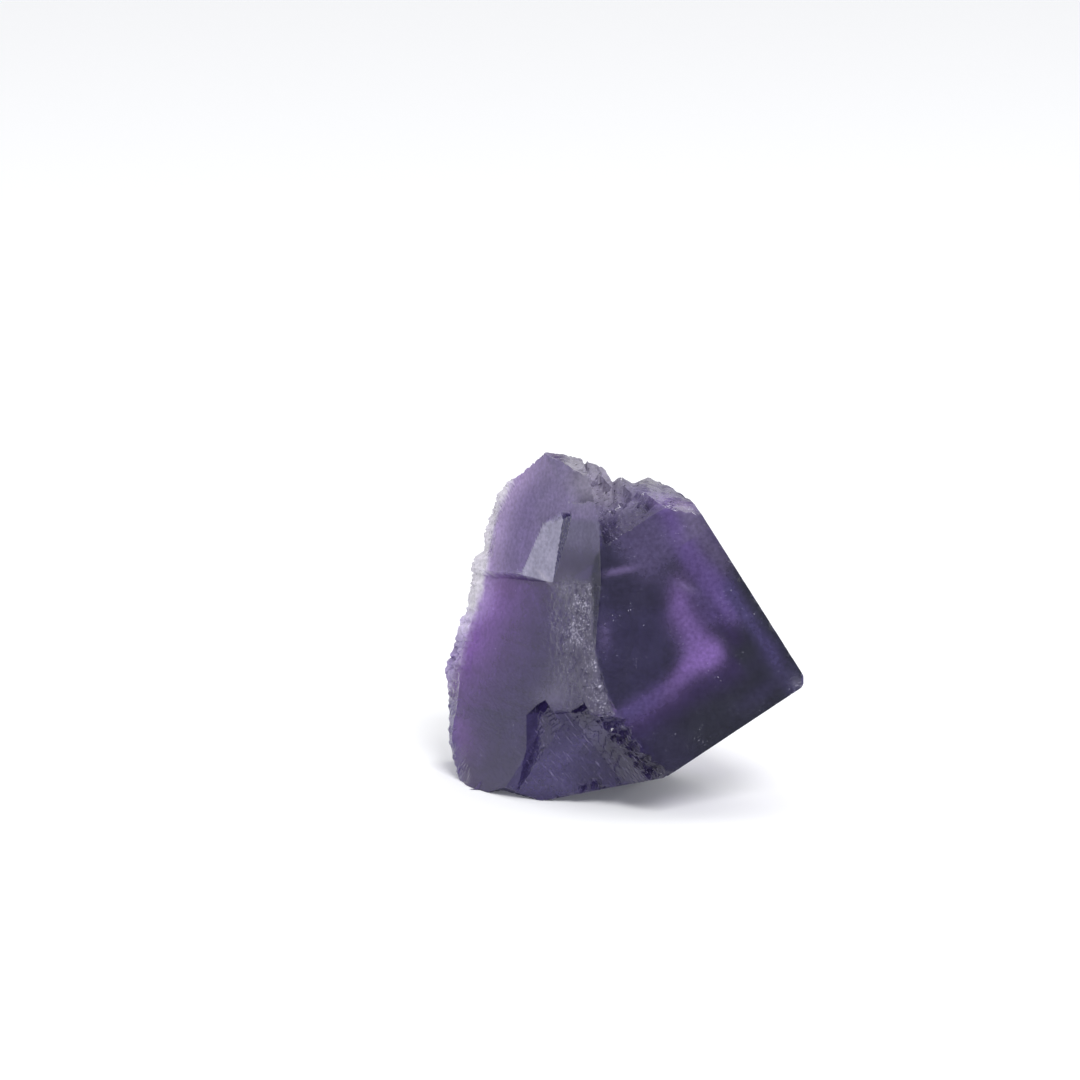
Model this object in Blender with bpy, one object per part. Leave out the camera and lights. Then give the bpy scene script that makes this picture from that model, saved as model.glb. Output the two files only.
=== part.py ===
# A broken corner of a purple fluorite cube, resting on a flat break.
#
# Three growth faces of the cube meet in the corner on the right. Everything else is
# broken stone: smooth octahedral cleavages, stepped notches where flakes have come off
# the left cleavage and the front foot, and hackly bands of small octahedral chips.
#
# Shapes are laid out in millimetres in the face frame, whose origin is the middle of the
# crystal: x runs right and y up in the front cube face, and z points out of that face.

import math

import bmesh
import bpy
import numpy as np
from mathutils import Matrix, Vector

MM = 0.001

# How the crystal lies
FACE_LEAN = math.radians(11.0)  # the front cube face leans back by this much
LATTICE_TURN = math.radians(32.9)  # and the cube's edges are turned by this much in it

# The outer cube corner, measured from the middle of the crystal
CUBE_FRONT = 9.0
CUBE_RIGHT = 14.9
CUBE_LOWER = 14.4
CORNER_WEAR = 1.4  # radius of the rubbed corner
CORNER_WEAR_CUTS = 3

# The left cleavage: the upper layer still stands on the lower one
UPPER_LAYER = 6.45
LOWER_LAYER = 5.85
NOTCH_FLOOR = 5.0  # floor of the two small lattice notches below it

BASE_DEPTH = 15.8

# The rough block that every shape is cut from
BLOCK_SIDE = 90.0

CHIP_SEED = 7
CHIP_SHAPE = (0.6, 1.3)  # how far each side of a chip lies from its middle, in sizes
CHIP_RISE = (0.2, 0.75)  # how far its middle lies outside the stone, in sizes


def direction(x, y, z):
    """A unit vector of the face frame."""
    return Vector((x, y, z)).normalized()


CUBE_AXES = (
    direction(math.cos(LATTICE_TURN), math.sin(LATTICE_TURN), 0.0),
    direction(math.sin(LATTICE_TURN), -math.cos(LATTICE_TURN), 0.0),
    direction(0.0, 0.0, 1.0),
)


def lattice(h, k, l):
    """The unit normal of the crystal plane with these Miller indices."""
    return (h * CUBE_AXES[0] + k * CUBE_AXES[1] + l * CUBE_AXES[2]).normalized()


DOWN = direction(0.0, -math.cos(FACE_LEAN), -math.sin(FACE_LEAN))
LEFT_CLEAVAGE = direction(-0.79, 0.07, 0.60)


def worn_corner():
    """Cuts that round the corner where the right and lower growth faces meet."""
    cuts = {}
    for step in range(1, CORNER_WEAR_CUTS + 1):
        turn = math.radians(90.0 * step / (CORNER_WEAR_CUTS + 1))
        normal = CUBE_AXES[0] * math.cos(turn) + CUBE_AXES[1] * math.sin(turn)
        distance = (
            (CUBE_RIGHT - CORNER_WEAR) * math.cos(turn)
            + (CUBE_LOWER - CORNER_WEAR) * math.sin(turn)
            + CORNER_WEAR
        )
        cuts[f"wear_{step}"] = (normal, distance)
    return cuts


# Every face of the convex body: its outward normal and its distance from the middle
FACES = {
    "growth_front": (lattice(0, 0, 1), CUBE_FRONT),
    "growth_right": (lattice(1, 0, 0), CUBE_RIGHT),
    "growth_lower": (lattice(0, 1, 0), CUBE_LOWER),
    "cleavage_left": (LEFT_CLEAVAGE, UPPER_LAYER),
    "cleavage_back_top": (lattice(1, -1, -1), 13.1),
    "cleavage_back_right": (lattice(1, 1, -1), 15.6),
    "break_back_left": (direction(-0.90, 0.31, -0.35), 16.2),
    "break_back": (direction(0.05, -0.06, -1.0), 16.8),
    "break_base": (DOWN, BASE_DEPTH),
    "break_left": (direction(-0.93, 0.14, 0.30), 10.1),
    "break_left_low": (direction(-0.97, -0.03, 0.24), 11.9),
    "break_left_foot": (direction(-0.96, -0.21, 0.15), 15.2),
    "brow_left": (direction(-0.56, 0.82, -0.10), 18.3),
    "peak": (direction(-0.05, 1.0, 0.0), 18.9),
    "plate_top": (direction(0.20, 0.93, 0.33), 16.88),
    "shoulder_right": (direction(0.62, 0.78, 0.0), 16.5),
    "undercut_left": (direction(-0.344, -0.90, 0.25), 17.1),
    "undercut_right": (direction(0.27, -0.96, 0.05), 14.96),
    **worn_corner(),
}


def lattice_notch(x, y, left):
    """A notch with two cube-parallel walls that meet at x, y, cut off at x = left."""
    tip = Vector((x, y, 0.0))
    return (
        (LEFT_CLEAVAGE, NOTCH_FLOOR),
        (CUBE_AXES[1], CUBE_AXES[1].dot(tip)),
        (-CUBE_AXES[0], -CUBE_AXES[0].dot(tip)),
        (direction(1.0, 0.0, 0.0), left),
    )


# Each notch is the region that lies beyond all of its planes
NOTCHES = {
    "lower_layer": (
        (LEFT_CLEAVAGE, LOWER_LAYER),
        (direction(0.0, -1.0, -0.067), -6.0),
    ),
    "pale_flake": (
        (direction(-0.709, -0.014, 0.704), 5.17),
        (direction(-0.95, 0.16, 0.30), 6.32),
        (direction(0.316, -0.949, 0.0), -13.1),
        (direction(0.0, 1.0, 0.067), 6.0),
    ),
    "brow_flake": (
        (direction(-0.662, 0.168, 0.73), 7.91),
        (direction(0.10, 0.99, 0.0), 13.2),
    ),
    "top_break": (
        (direction(-0.41, 0.63, 0.66), 11.7),
        (direction(0.967, 0.254, 0.0), 2.78),
    ),
    "top_dip": (
        (direction(0.82, 0.57, 0.0), 10.27),
        (direction(-0.45, 0.89, 0.0), 12.3),
        (direction(0.0, 1.0, 0.0), 15.9),
    ),
    "foot_bite": (
        (direction(-0.323, -0.409, 0.853), 8.24),
        (direction(-0.64, -0.575, 0.51), 8.65),
        (direction(-0.10, -0.99, 0.0), 7.3),
    ),
    "left_notch": lattice_notch(-5.6, -5.9, -7.2),
    "right_notch": lattice_notch(-1.7, -6.2, -3.4),
    "terrace_right": ((lattice(1, 1, -1), 14.5), (lattice(1, -1, -1), 7.5)),
    "terrace_right_low": ((lattice(1, 1, -1), 14.9), (lattice(-1, 1, -1), 8.5)),
    "terrace_top": ((lattice(1, -1, -1), 12.2), (lattice(-1, -1, -1), 6.5)),
    "terrace_top_low": ((lattice(1, -1, -1), 12.5), (lattice(1, 1, -1), 9.5)),
    "terrace_back": ((direction(0.05, -0.06, -1.0), 15.9), (lattice(1, 1, -1), 12.0)),
}

# Bands of chips: two ends near the surface, how wide the band is, how many chips it has
# and the sizes of the smallest and largest, in mm
CHIP_BANDS = {
    "left_edge": ((-10.5, 14.0, -7.0), (-15.0, -7.0, -10.0), 2.0, 26, 0.6, 1.6),
    "top_edge": ((-4.0, 18.5, -1.0), (8.5, 15.0, 0.0), 1.2, 18, 0.4, 1.1),
    "top_hackle": ((0.5, 14.5, 6.0), (6.0, 13.5, 6.5), 1.8, 14, 0.5, 1.1),
    "bite_face": ((-6.0, -8.0, 3.0), (3.0, -14.0, 4.0), 3.0, 20, 0.5, 1.4),
    "bite_border": ((0.0, -7.0, 9.0), (6.5, -13.5, 8.5), 0.8, 14, 0.4, 1.1),
    "front_ridge": ((-0.2, 6.0, 8.9), (-0.8, -6.0, 8.9), 0.8, 14, 0.3, 0.8),
    "base_rim": ((-13.0, -15.0, -3.0), (3.0, -15.5, 4.5), 0.8, 10, 0.4, 0.9),
    "right_nicks": ((9.9, 12.0, 9.0), (19.0, -2.0, 9.0), 0.1, 6, 0.2, 0.45),
    "back_ridge": ((13.7, 6.3, -9.9), (8.0, 2.6, -16.6), 0.8, 6, 0.4, 1.6),
    "back_right_edge": ((13.7, 6.3, -9.9), (19.5, -3.2, 1.0), 0.6, 8, 0.4, 1.2),
    "back_left_edge": ((-12.6, 16.0, -4.3), (-9.7, 10.0, -11.8), 0.8, 6, 0.6, 1.5),
    "back_foot_edge": ((-8.5, 8.5, -16.8), (-14.5, -7.0, -16.8), 1.0, 7, 0.5, 2.2),
}


def surface_distance(ray):
    """How far the stone reaches from its middle along a unit vector."""
    reach = min(
        distance / normal.dot(ray) for normal, distance in FACES.values() if normal.dot(ray) > 0.0
    )
    for planes in NOTCHES.values():
        enter = 0.0
        leave = math.inf
        for normal, distance in planes:
            slope = normal.dot(ray)
            if distance > 0.0:
                enter = max(enter, distance / slope if slope > 0.0 else math.inf)
            elif slope < 0.0:
                leave = min(leave, distance / slope)
        if enter < leave:
            reach = min(reach, enter)
    return reach


def chips():
    """The planes that bound each chip: an uneven octahedron half sunk in the stone."""
    rng = np.random.default_rng(CHIP_SEED)
    cleavages = [lattice(h, k, l) for h in (1, -1) for k in (1, -1) for l in (1, -1)]
    for start, end, width, count, smallest, largest in CHIP_BANDS.values():
        for place in range(count):
            along = (place + rng.uniform(0.1, 0.9)) / count
            spread = Vector(rng.uniform(-0.5, 0.5, 3)) * width
            ray = (Vector(start).lerp(Vector(end), along) + spread).normalized()
            size = rng.uniform(smallest, largest)
            middle = ray * (surface_distance(ray) + size * rng.uniform(*CHIP_RISE))
            sides = rng.uniform(*CHIP_SHAPE, len(cleavages)) * size
            yield [
                (-normal, -(normal.dot(middle) + side))
                for normal, side in zip(cleavages, sides)
            ]


def cut_block(planes):
    """A closed mesh of what is left of the block inside all of the planes."""
    mesh = bmesh.new()
    bmesh.ops.create_cube(mesh, size=BLOCK_SIDE)
    for normal, distance in planes:
        cut = bmesh.ops.bisect_plane(
            mesh,
            geom=mesh.verts[:] + mesh.edges[:] + mesh.faces[:],
            dist=1e-6,
            plane_co=normal * distance,
            plane_no=normal,
            clear_outer=True,
        )
        rim = [item for item in cut["geom_cut"] if isinstance(item, bmesh.types.BMEdge)]
        if rim:
            bmesh.ops.contextual_create(mesh, geom=rim)
    bmesh.ops.recalc_face_normals(mesh, faces=mesh.faces[:])
    return mesh


def add_object(name, mesh, collection):
    """Turn a mesh laid out in the face frame into an object in metres."""
    bmesh.ops.scale(mesh, vec=(MM, MM, MM), verts=mesh.verts[:])
    data = bpy.data.meshes.new(name)
    mesh.to_mesh(data)
    mesh.free()
    item = bpy.data.objects.new(name, data)
    collection.objects.link(item)
    return item


def new_collection(name):
    collection = bpy.data.collections.new(name)
    bpy.context.scene.collection.children.link(collection)
    return collection


def fluorite():
    """Dark violet glassy stone."""
    material = bpy.data.materials.new("fluorite")
    material.use_nodes = True
    shader = material.node_tree.nodes["Principled BSDF"]
    shader.inputs["Base Color"].default_value = (0.115, 0.075, 0.22, 1.0)
    shader.inputs["Roughness"].default_value = 0.15
    shader.inputs["Metallic"].default_value = 0.0
    return material


def add_cutters(collection):
    """One closed body for each notch and chip."""
    regions = list(NOTCHES.values()) + list(chips())
    for number, planes in enumerate(regions, start=1):
        inside = [(-normal, -distance) for normal, distance in planes]
        cutter = add_object(f"cutter_{number:03d}", cut_block(inside), collection)
        cutter.display_type = "WIRE"
        cutter.hide_render = True


def stand_on_origin(items, stone):
    """Lay the crystal down and put the middle of its base box on the origin."""
    stand = Matrix.Rotation(math.radians(90.0) - FACE_LEAN, 4, "X")
    for item in items:
        item.matrix_world = stand
    bpy.context.view_layer.update()
    solid = stone.evaluated_get(bpy.context.evaluated_depsgraph_get())
    corners = np.array([stand @ vertex.co for vertex in solid.data.vertices])
    low = corners.min(axis=0)
    high = corners.max(axis=0)
    shift = Vector((-(low[0] + high[0]) / 2, -(low[1] + high[1]) / 2, -low[2]))
    for item in items:
        item.location = shift
    bpy.context.view_layer.update()
    print("middle of the crystal in mm:", [round(value / MM, 3) for value in shift])


def main():
    for item in list(bpy.data.objects):
        bpy.data.objects.remove(item, do_unlink=True)
    parts = new_collection("fluorite_fragment")
    cutters = new_collection("cutters")

    crystal = add_object("crystal", cut_block(FACES.values()), parts)
    crystal.data.materials.append(fluorite())
    add_cutters(cutters)
    carve = crystal.modifiers.new("notches_and_chips", "BOOLEAN")
    carve.operation = "DIFFERENCE"
    carve.solver = "EXACT"
    carve.operand_type = "COLLECTION"
    carve.collection = cutters

    stand_on_origin([crystal] + list(cutters.objects), crystal)


main()
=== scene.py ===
# The looks of a broken corner of a purple fluorite cube.

import math

import bpy
import numpy as np
from mathutils import Matrix, Vector


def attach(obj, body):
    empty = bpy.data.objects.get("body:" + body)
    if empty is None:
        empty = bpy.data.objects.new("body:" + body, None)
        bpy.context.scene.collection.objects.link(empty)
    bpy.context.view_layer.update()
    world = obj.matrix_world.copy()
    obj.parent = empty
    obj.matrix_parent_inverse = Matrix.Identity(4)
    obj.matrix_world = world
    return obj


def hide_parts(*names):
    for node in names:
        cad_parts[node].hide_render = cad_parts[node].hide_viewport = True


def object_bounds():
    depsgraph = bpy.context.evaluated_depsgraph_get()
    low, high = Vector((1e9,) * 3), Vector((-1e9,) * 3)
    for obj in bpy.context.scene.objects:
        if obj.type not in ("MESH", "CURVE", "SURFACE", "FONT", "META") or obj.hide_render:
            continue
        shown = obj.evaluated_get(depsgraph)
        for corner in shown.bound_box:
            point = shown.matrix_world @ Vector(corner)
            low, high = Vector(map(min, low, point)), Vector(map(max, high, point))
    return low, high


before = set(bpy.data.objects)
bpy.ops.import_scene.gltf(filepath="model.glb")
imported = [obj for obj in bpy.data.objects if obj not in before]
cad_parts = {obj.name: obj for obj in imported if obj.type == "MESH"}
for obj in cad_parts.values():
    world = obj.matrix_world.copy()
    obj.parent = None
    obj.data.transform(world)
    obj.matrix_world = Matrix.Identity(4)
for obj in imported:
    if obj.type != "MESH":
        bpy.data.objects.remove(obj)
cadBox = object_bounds()
mm = 0.001
print("frame loaded")

# The shape is worked out in mm in the face frame: x right and y up in the front cube face,
# z out of it, counted from the middle of the crystal.

lie = {
    "middle": (-1.992, -3.42, 15.8),  # mm, from the part's origin
    "lean": 11.0,  # degrees, the front cube face leans back
    "turn": 32.9,  # degrees, the cube's edges are turned in that face
}
lean = math.radians(lie["lean"])
turn = math.radians(lie["turn"])


def unit(*parts):
    vector = np.array(parts, float)
    return vector / np.linalg.norm(vector)


cubeAxes = np.array(
    [
        unit(math.cos(turn), math.sin(turn), 0.0),
        unit(math.sin(turn), -math.cos(turn), 0.0),
        unit(0.0, 0.0, 1.0),
    ]
)
# The rows are the face frame's x, y and z axes in the part's own frame.
stand = np.array(
    [
        [1.0, 0.0, 0.0],
        [0.0, math.sin(lean), math.cos(lean)],
        [0.0, -math.cos(lean), math.sin(lean)],
    ]
)


def lattice(h, k, l):
    return unit(*(h * cubeAxes[0] + k * cubeAxes[1] + l * cubeAxes[2]))


def toPart(points):
    return (points @ stand + np.array(lie["middle"])) * mm


# Every cut is an outward normal, its distance from the middle in mm, and the finish it leaves.

cube = {"front": 9.0, "right": 14.9, "lower": 14.45, "wear": 1.2, "wearCuts": 3}
leftLayers = {"upper": 6.45, "lower": 5.85, "notchFloor": 5.0}
down = unit(0.0, -math.cos(lean), -math.sin(lean))
leftCleavage = unit(-0.79, 0.07, 0.60)
cleavages = [lattice(h, k, l) for h in (1, -1) for k in (1, -1) for l in (1, -1)]


def wornCorner():
    # A quarter round of radius wear stands for the sharp corner, cut by a few planes.
    cuts = []
    for step in range(1, cube["wearCuts"] + 1):
        angle = math.radians(90.0 * step / (cube["wearCuts"] + 1))
        normal = cubeAxes[0] * math.cos(angle) + cubeAxes[1] * math.sin(angle)
        right = (cube["right"] - cube["wear"]) * math.cos(angle)
        lower = (cube["lower"] - cube["wear"]) * math.sin(angle)
        cuts.append((normal, right + lower + cube["wear"], "worn"))
    return cuts


faces = [
    (lattice(0, 0, 1), cube["front"], "growth"),
    (unit(0.8453, 0.5344, 0.0), 15.01, "growth"),  # the cube's right face
    (unit(0.5519, -0.8339, 0.0), 14.565, "growth"),  # its lower face
    (leftCleavage, leftLayers["upper"], "cleavage"),
    (lattice(1, -1, -1), 13.5, "cleavage"),
    (lattice(1, 1, -1), 15.6, "cleavage"),
    (unit(-0.90, 0.31, -0.35), 16.2, "hackle"),
    (unit(0.05, -0.06, -1.0), 16.8, "hackle"),
    (down, 15.8, "base"),
    (unit(-0.93, 0.14, 0.30), 10.1, "edge"),
    (unit(-0.96, 0.02, 0.24), 12.22, "edge"),
    (unit(-0.97, -0.05, 0.0), 15.87, "veil"),
    (unit(-0.56, 0.82, -0.10), 18.3, "edge"),
    (unit(-0.05, 1.0, 0.0), 18.9, "edge"),
    (unit(0.20, 0.93, 0.33), 16.45, "veil"),
    (unit(0.62, 0.78, 0.0), 16.5, "edge"),
    (unit(-0.344, -0.90, 0.25), 17.1, "edge"),
    (unit(0.19, -0.98, 0.05), 14.7, "bite"),
    *wornCorner(),
]


def latticeNotch(x, y, left):
    # Two walls parallel to the cube meet at x, y, and the notch is cut off at x = left.
    tip = np.array([x, y, 0.0])
    return [
        (leftCleavage, leftLayers["notchFloor"], "bite"),
        (cubeAxes[1], cubeAxes[1] @ tip, "bite"),
        (-cubeAxes[0], -cubeAxes[0] @ tip, "bite"),
        (unit(1.0, 0.0, 0.0), left, "bite"),
    ]


# A notch is the region that lies beyond all of its planes.
notches = [
    [(leftCleavage, leftLayers["lower"], "cleavage"), (unit(0.0, -1.0, -0.067), -6.0, "ledge")],
    [
        (unit(-0.709, -0.014, 0.704), 5.17, "pale"),
        (unit(-0.88, 0.06, 0.45), 5.79, "dark"),
        (unit(0.316, -0.949, 0.0), -12.8, "pale"),
        (unit(0.0, 1.0, 0.067), 6.0, "pale"),
    ],
    [(unit(-0.662, 0.168, 0.73), 7.91, "cleavage"), (unit(0.10, 0.99, 0.0), 13.2, "cleavage")],
    [(unit(-0.41, 0.63, 0.66), 11.7, "veil"), (unit(0.967, 0.254, 0.0), 2.78, "veil")],
    [
        (unit(0.82, 0.57, 0.0), 10.27, "edge"),
        (unit(-0.45, 0.89, 0.0), 12.3, "edge"),
        (unit(0.0, 1.0, 0.0), 15.9, "edge"),
    ],
    [
        (unit(-0.323, -0.409, 0.853), 8.24, "bite"),
        (unit(-0.64, -0.575, 0.51), 8.65, "bite"),
        (unit(-0.10, -0.99, 0.0), 7.3, "bite"),
    ],
    [  # right of the crack the layer thins out towards its lower end
        (unit(-0.7944, -0.0296, 0.6033), 5.26, "cleavage"),
        (unit(0.88, -0.06, -0.45), -5.79, "cleavage"),
        (unit(0.0, 1.0, 0.067), 6.0, "cleavage"),
    ],
    [(unit(0.17, -0.985, 0.16), 12.6, "bite"), (unit(-0.38, -0.925, 0.16), 16.93, "bite")],
    latticeNotch(-5.5, -5.9, -6.3),
    latticeNotch(-1.65, -6.1, -2.85),
    [
        (leftCleavage, leftLayers["notchFloor"], "bite"),
        (unit(0.0, -1.0, 0.0), 8.6, "bite"),
        (unit(0.949, -0.316, 0.0), -3.0, "bite"),
    ],
    [(lattice(1, 1, -1), 14.5, "cleavage"), (lattice(1, -1, -1), 7.5, "cleavage")],
    [(lattice(1, 1, -1), 14.9, "cleavage"), (lattice(-1, 1, -1), 8.5, "cleavage")],
    [(lattice(1, -1, -1), 12.2, "cleavage"), (lattice(-1, -1, -1), 13.2, "cleavage")],
    [(lattice(1, -1, -1), 12.5, "cleavage"), (lattice(1, 1, -1), 9.5, "cleavage")],
    [(unit(0.05, -0.06, -1.0), 15.9, "hackle"), (lattice(1, 1, -1), 12.0, "cleavage")],
]

# A band of chips: its two ends near the surface, its width, the number of chips and the
# sizes of the smallest and largest, all in mm.

chipBands = {
    "seed": 7,
    "shape": (0.6, 1.3),  # how far each side lies from a chip's middle, in sizes
    "rise": (0.2, 0.75),  # how far that middle lies outside the stone, in sizes
    "bands": [
        ((-11.3, 13.5, -8.5), (-12.6, 6.0, -9.5), 0.8, 16, 0.4, 0.9),
        ((-13.2, 4.0, -10.0), (-15.4, -3.0, -11.0), 0.8, 10, 0.4, 0.8),
        ((-15.6, -6.0, -12.5), (-14.8, -13.0, -11.0), 0.8, 4, 0.3, 0.6),
        ((-3.5, 18.6, 0.0), (8.5, 14.6, 0.5), 1.6, 14, 0.4, 1.0),
        ((-1.0, 16.0, 4.0), (5.0, 14.0, 6.5), 2.4, 7, 0.5, 1.1),
        ((0.4, -8.0, 8.6), (6.0, -13.5, 8.0), 1.4, 16, 0.4, 1.0),
        ((-4.0, -15.8, 1.0), (3.0, -15.0, 4.5), 0.8, 4, 0.4, 0.8),
        ((9.9, 12.0, 9.0), (19.0, -2.0, 9.0), 0.1, 6, 0.14, 0.3),
        ((13.7, 6.3, -9.9), (8.0, 2.6, -16.6), 0.8, 8, 0.4, 1.6),
        ((13.7, 6.3, -9.9), (19.5, -3.2, 1.0), 0.6, 8, 0.4, 1.2),
        ((-10.6, 14.0, -9.3), (-9.7, 10.0, -12.8), 1.2, 8, 0.5, 1.3),
        ((-8.5, 8.5, -16.8), (-14.5, -7.0, -16.8), 1.0, 6, 0.5, 2.0),
        ((-11.0, 10.0, -14.0), (-13.0, -10.0, -13.0), 6.0, 16, 0.6, 2.0),
    ],
}
crumbBands = {
    "seed": 31,
    "shape": (0.6, 1.3),
    "rise": (0.25, 0.8),
    "bands": [
        ((-10.6, 14.5, -8.0), (-12.6, 5.0, -9.5), 1.6, 40, 0.2, 0.5),
        ((-13.0, 4.0, -11.0), (-15.6, -6.0, -12.0), 1.0, 20, 0.2, 0.45),
        ((-4.0, 18.6, 1.0), (9.0, 14.5, 3.0), 2.0, 14, 0.3, 0.6),
        ((0.0, 14.0, 6.5), (7.0, 14.0, 8.0), 1.0, 10, 0.25, 0.5),
        ((0.2, -8.2, 8.6), (6.0, -13.5, 8.0), 2.0, 36, 0.25, 0.6),
        ((-4.0, -15.8, 1.0), (4.0, -14.6, 4.5), 1.2, 7, 0.25, 0.5),
        ((9.9, 12.0, 9.0), (19.6, -3.0, 9.0), 0.1, 14, 0.1, 0.18),
        ((19.4, -5.0, 9.0), (6.0, -13.5, 9.0), 0.1, 12, 0.1, 0.2),
    ],
}


def castRays(rays, openings):
    # The distance to the surface along each ray and the number of the plane met there. A face
    # is met at distance / slope. A notch is entered at its last such plane, and takes the
    # surface back to there if the ray is still inside all of its other planes.
    reach = np.full(len(rays), np.inf)
    met = np.full(len(rays), -1)
    for number, (normal, distance, _) in enumerate(faces):
        slope = rays @ normal
        far = np.where(slope > 1e-9, distance / np.maximum(slope, 1e-9), np.inf)
        closer = far < reach
        reach[closer] = far[closer]
        met[closer] = number
    first = len(faces)
    for opening, cone in openings:
        near = np.arange(len(rays)) if cone is None else np.flatnonzero(rays @ cone[0] > cone[1])
        enter = np.zeros(len(near))
        leave = np.full(len(near), np.inf)
        wall = np.full(len(near), first)
        for number, (normal, distance, _) in enumerate(opening):
            slope = rays[near] @ normal
            if distance > 0.0:
                far = np.where(slope > 1e-9, distance / np.maximum(slope, 1e-9), np.inf)
                later = far > enter
                enter[later] = far[later]
                wall[later] = first + number
            else:
                far = np.where(slope < -1e-9, distance / np.minimum(slope, -1e-9), np.inf)
                leave = np.minimum(leave, far)
        deeper = (enter < leave) & (enter < reach[near])
        reach[near[deeper]] = enter[deeper]
        met[near[deeper]] = wall[deeper]
        first += len(opening)
    return reach, met


def makeChips(bands, openings):
    # Each chip is an uneven octahedron of cleavage planes, half sunk in the stone.
    chips = []
    for turnNumber, (start, end, width, count, smallest, largest) in enumerate(bands["bands"]):
        rng = np.random.default_rng((bands["seed"], turnNumber))
        for place in range(count):
            along = (place + rng.uniform(0.1, 0.9)) / count
            spread = rng.uniform(-0.5, 0.5, 3) * width
            ray = unit(*(np.array(start) * (1 - along) + np.array(end) * along + spread))
            size = rng.uniform(smallest, largest)
            depth = castRays(ray[None, :], openings)[0][0]
            middle = ray * (depth + size * rng.uniform(*bands["rise"]))
            sides = rng.uniform(*bands["shape"], len(cleavages)) * size
            planes = [
                (-normal, -(normal @ middle + side), "chip")
                for normal, side in zip(cleavages, sides)
            ]
            cone = math.cos(min(1.2, 2.6 * size / np.linalg.norm(middle)))
            chips.append((planes, (ray, cone)))
    return chips


openings = [(notch, None) for notch in notches]
openings += makeChips(chipBands, [(notch, None) for notch in notches])
openings += makeChips(crumbBands, [(notch, None) for notch in notches])
planeList = faces + [plane for opening, _ in openings for plane in opening]
normals = np.array([plane[0] for plane in planeList])
distances = np.array([plane[1] for plane in planeList])
finishes = np.array([plane[2] for plane in planeList])
print("chips placed:", len(openings) - len(notches))

# Rays go from the middle of the stone through a grid on a box around it. Each number of a
# span is its low end, its high end, how many cells it has, and where and how much they crowd.

gridSpans = {
    "x": (-17.0, 20.5, 150, -5.5, 7.0, 1.6),
    "y": (-17.0, 20.0, 150, 0.0, 30.0, 0.0),
    "z": (-18.0, 10.0, 90, 4.0, 10.0, 0.8),
}


def gridLines(low, high, cells, focus, reach, gain):
    # Lines whose density is one plus a bell of height gain around focus.
    fine = np.linspace(low, high, 4000)
    total = np.cumsum(1.0 + gain * np.exp(-(((fine - focus) / reach) ** 2)))
    total = (total - total[0]) / (total[-1] - total[0])
    return np.interp(np.linspace(0.0, 1.0, cells + 1), total, fine)


def boxGrid():
    # Six flat grids, one for each side of the box, welded along its edges.
    lines = [gridLines(*gridSpans[axis]) for axis in "xyz"]
    points = []
    quads = []
    count = 0
    for across in range(3):
        one, two = (across + 1) % 3, (across + 2) % 3
        for side in (0, -1):
            u, v = np.meshgrid(lines[one], lines[two], indexing="ij")
            sheet = np.empty(u.shape + (3,))
            sheet[..., one] = u
            sheet[..., two] = v
            sheet[..., across] = lines[across][side]
            index = np.arange(u.size).reshape(u.shape) + count
            corners = [index[:-1, :-1], index[1:, :-1], index[1:, 1:], index[:-1, 1:]]
            quad = np.stack(corners, -1).reshape(-1, 4)
            quads.append(quad if side == -1 else quad[:, ::-1])
            points.append(sheet.reshape(-1, 3))
            count += u.size
    points = np.concatenate(points)
    _, first, back = np.unique(np.round(points, 4), axis=0, return_index=True, return_inverse=True)
    return points[first], back.reshape(-1)[np.concatenate(quads)]


def edgePairs(quads, met):
    # The edges of the grid whose two ends lie on different planes.
    pairs = np.concatenate([quads[:, [0, 1]], quads[:, [1, 2]], quads[:, [2, 3]], quads[:, [3, 0]]])
    pairs = np.unique(np.sort(pairs, axis=1), axis=0)
    return pairs[met[pairs[:, 0]] != met[pairs[:, 1]]]


def toRays(grid):
    return grid / np.linalg.norm(grid, axis=1)[:, None]


def straightenWalls(grid, quads, met):
    # The depth jumps where a wall runs along the rays. Both ends of a grid edge that crosses
    # such a wall move to the crossing, found by halving, so that the wall has straight rims.
    pairs = edgePairs(quads, met)
    start, way = grid[pairs[:, 0]], grid[pairs[:, 1]] - grid[pairs[:, 0]]
    low, high = np.zeros(len(pairs)), np.ones(len(pairs))
    for _ in range(9):
        middle = (low + high) / 2.0
        _, hit = castRays(toRays(start + way * middle[:, None]), openings)
        same = hit == met[pairs[:, 0]]
        low = np.where(same, middle, low)
        high = np.where(same, high, middle)
    before, _ = castRays(toRays(start + way * low[:, None]), openings)
    after, hit = castRays(toRays(start + way * high[:, None]), openings)
    wall = (np.abs(after - before) > 0.06) & (hit == met[pairs[:, 1]])
    pairs, start, way, low, high = pairs[wall], start[wall], way[wall], low[wall], high[wall]
    mover = np.concatenate([pairs[:, 0], pairs[:, 1]])
    target = np.concatenate([start + way * low[:, None], start + way * high[:, None]])
    order = np.argsort(np.concatenate([low, 1.0 - high]), kind="stable")[::-1]
    moved = grid.copy()
    moved[mover[order]] = target[order]  # the shortest move is written last
    for _ in range(4):  # a quad that would turn over takes its corners back
        corner = moved[quads]
        turned = np.cross(corner[:, 2] - corner[:, 0], corner[:, 3] - corner[:, 1])
        back = quads[np.sum(turned * corner.mean(1), 1) <= 0.0].ravel()
        moved[back] = grid[back]
    return moved, np.any(moved != grid, axis=1)


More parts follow.
